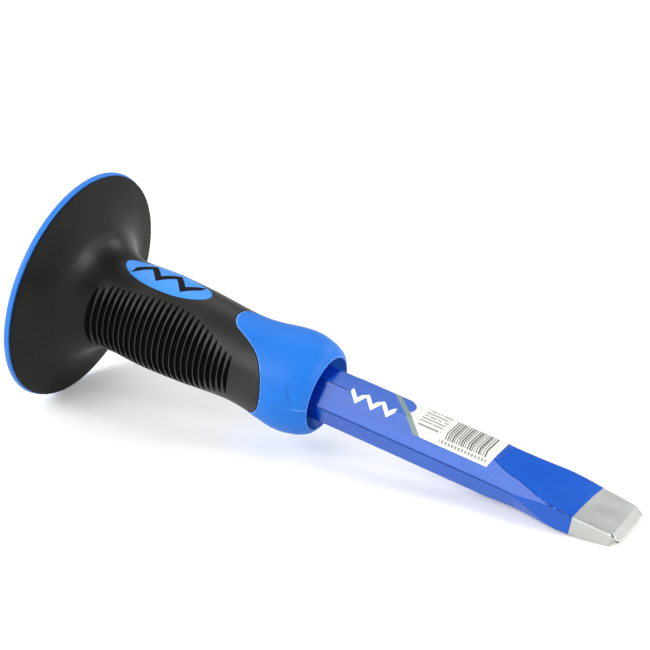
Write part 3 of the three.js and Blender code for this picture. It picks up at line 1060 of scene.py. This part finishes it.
def product_label(look):
    """Film folded over the top flat and the upper flat on the camera side."""
    across, y, z = label_section()
    length = label_high[0] - label_low[0] - LABEL_SKEW * ease(across, 9.5, 16.5)
    x = label_low[0] + np.linspace(0, 1, 80)[:, None] * length
    outward = np.stack([-np.gradient(z), np.gradient(y)], -1)
    outward *= np.sign(outward[0, 1]) / np.linalg.norm(outward, axis=1)[:, None]

    def layer_at(lift):
        lifted = (y + outward[:, 0] * lift, z + outward[:, 1] * lift)
        return np.stack([x] + [np.broadcast_to(part, x.shape) for part in lifted], -1)

    loop = np.concatenate([layer_at(FILM), layer_at(0.0)[:, ::-1]], 1)
    rows, columns, _ = loop.shape
    faces = grid_faces(rows, columns, False, True)
    for row in (0, rows - 1):
        for k in range(columns // 2 - 1):
            corners = (k, k + 1, columns - 2 - k, columns - 1 - k)
            faces.append([row * columns + corner for corner in corners])
    label = add_piece("product_label_film", loop.reshape(-1, 3), faces, look,
                      "product_label", 35)
    print_place = np.zeros_like(loop)
    print_place[..., 0] = loop[..., 0] - label_low[0]
    print_place[..., 1] = np.concatenate([across, across[::-1]])
    layer = label.data.attributes.new("print_place", "FLOAT_VECTOR", "POINT")
    layer.data.foreach_set("vector", print_place.reshape(-1).astype(np.float32))
    return label


# ------------------------------ all pieces

steel_bar(steel_look())
enamel_coat(enamel_look())
guard_moulding(guard_look())
grip_sleeve(rubber_look())
front_collar(collar_look())
badge_inlay(inlay_look())
badge_emblem(emblem_look())
product_label(label_look())

# ------------------------------ floor, light, camera

FLOOR_RADIUS = 1.2
FLOOR_SIDES = 96


def floor():
    """Pale round bench top."""
    turns = np.linspace(0, 2 * math.pi, FLOOR_SIDES, endpoint=False)
    rim = FLOOR_RADIUS * np.stack([np.cos(turns), np.sin(turns), np.zeros_like(turns)], -1)
    mesh = bpy.data.meshes.new("floor")
    mesh.from_pydata(rim.tolist(), [], [list(range(FLOOR_SIDES))])
    plane = bpy.data.objects.new("floor", mesh)
    bpy.context.scene.collection.objects.link(plane)
    material = bpy.data.materials.new("floor_white")
    material.use_nodes = True
    shader = material.node_tree.nodes["Principled BSDF"]
    shader.inputs["Base Color"].default_value = (0.8, 0.795, 0.77, 1)
    shader.inputs["Emission Color"].default_value = (1, 1, 1, 1)
    shader.inputs["Emission Strength"].default_value = 0.17
    shader.inputs["Roughness"].default_value = 0.9
    shader.inputs["Specular IOR Level"].default_value = 0.1
    mesh.materials.append(material)


LAMP_DISTANCE = 1.3
SUBJECT = Vector((0, 0, 0.03))

# Softboxes: direction from +X and height in degrees, width and height in metres, radiance.
SOFTBOXES = {
    "key_front_left": (-117, 29, 1.1, 0.6, 4.5),
    "left": (-142, 25, 0.6, 0.5, 5),
    "front_high": (-100, 48, 0.6, 0.6, 3.8),
    "right": (4, 24, 0.36, 0.22, 46),
    "right_back": (36, 27, 0.5, 0.3, 6),
    "back_right": (68, 27, 0.42, 0.26, 10),
    "back_high": (120, 50, 0.7, 0.7, 2),
    "behind": (-172, 40, 0.7, 0.6, 1.5),
}

# The room's light fades between two heights above the horizon, from one strength to another.
ROOM = (0.04, 0.2, 1.0, 0.33)


def toward(azimuth, elevation):
    """Unit vector at an angle round from +X and an angle up from level, in radians."""
    level = math.cos(elevation)
    return Vector((level * math.cos(azimuth), level * math.sin(azimuth), math.sin(elevation)))


def softbox(name, azimuth, elevation, width, height, radiance):
    outward = toward(math.radians(azimuth), math.radians(elevation))
    light = bpy.data.lights.new(name, "AREA")
    light.shape = "RECTANGLE"
    light.size = width
    light.size_y = height
    light.energy = radiance * math.pi * width * height
    lamp = bpy.data.objects.new(name, light)
    lamp.location = SUBJECT + outward * LAMP_DISTANCE
    lamp.rotation_euler = (-outward).to_track_quat("-Z", "Y").to_euler()
    bpy.context.scene.collection.objects.link(lamp)


def studio():
    """A dim white room, bright only along the horizon, with softboxes round the bench."""
    world = bpy.data.worlds.new("studio")
    world.use_nodes = True
    tree = world.node_tree
    background = tree.nodes["Background"]
    direction = tree.nodes.new("ShaderNodeTexCoord")
    parts = tree.nodes.new("ShaderNodeSeparateXYZ")
    tree.links.new(direction.outputs["Generated"], parts.inputs[0])
    fall = tree.nodes.new("ShaderNodeMapRange")
    for socket, number in zip(fall.inputs[1:], ROOM):
        socket.default_value = number
    tree.links.new(parts.outputs["Z"], fall.inputs[0])
    tree.links.new(fall.outputs[0], background.inputs["Strength"])
    background.inputs["Color"].default_value = (1, 1, 1, 1)
    bpy.context.scene.world = world
    for name, box in SOFTBOXES.items():
        softbox(name, *box)
    bpy.context.scene.view_settings.view_transform = "Standard"


CAMERA_AZIMUTH = math.radians(-60.44)                 # round from +X
CAMERA_ELEVATION = math.radians(24.13)
CAMERA_OFFSET = Vector((440.6, -582.9, 307.5)) * MM   # from the middle of the guard's front
CAMERA_LENS = 110.4
CAMERA_SENSOR = 36


def camera():
    back = toward(CAMERA_AZIMUTH, CAMERA_ELEVATION)
    right = Vector((0, 0, 1)).cross(back).normalized()
    turn = Matrix((right, back.cross(right), back)).transposed()
    data = bpy.data.cameras.new("camera")
    data.sensor_width = CAMERA_SENSOR
    data.lens = CAMERA_LENS
    eye = bpy.data.objects.new("camera", data)
    guard_middle = Vector(place([GUARD, 0, 0]))
    eye.matrix_world = Matrix.Translation(guard_middle + CAMERA_OFFSET) @ turn.to_4x4()
    bpy.context.scene.collection.objects.link(eye)
    bpy.context.scene.camera = eye


floor()
studio()
camera()
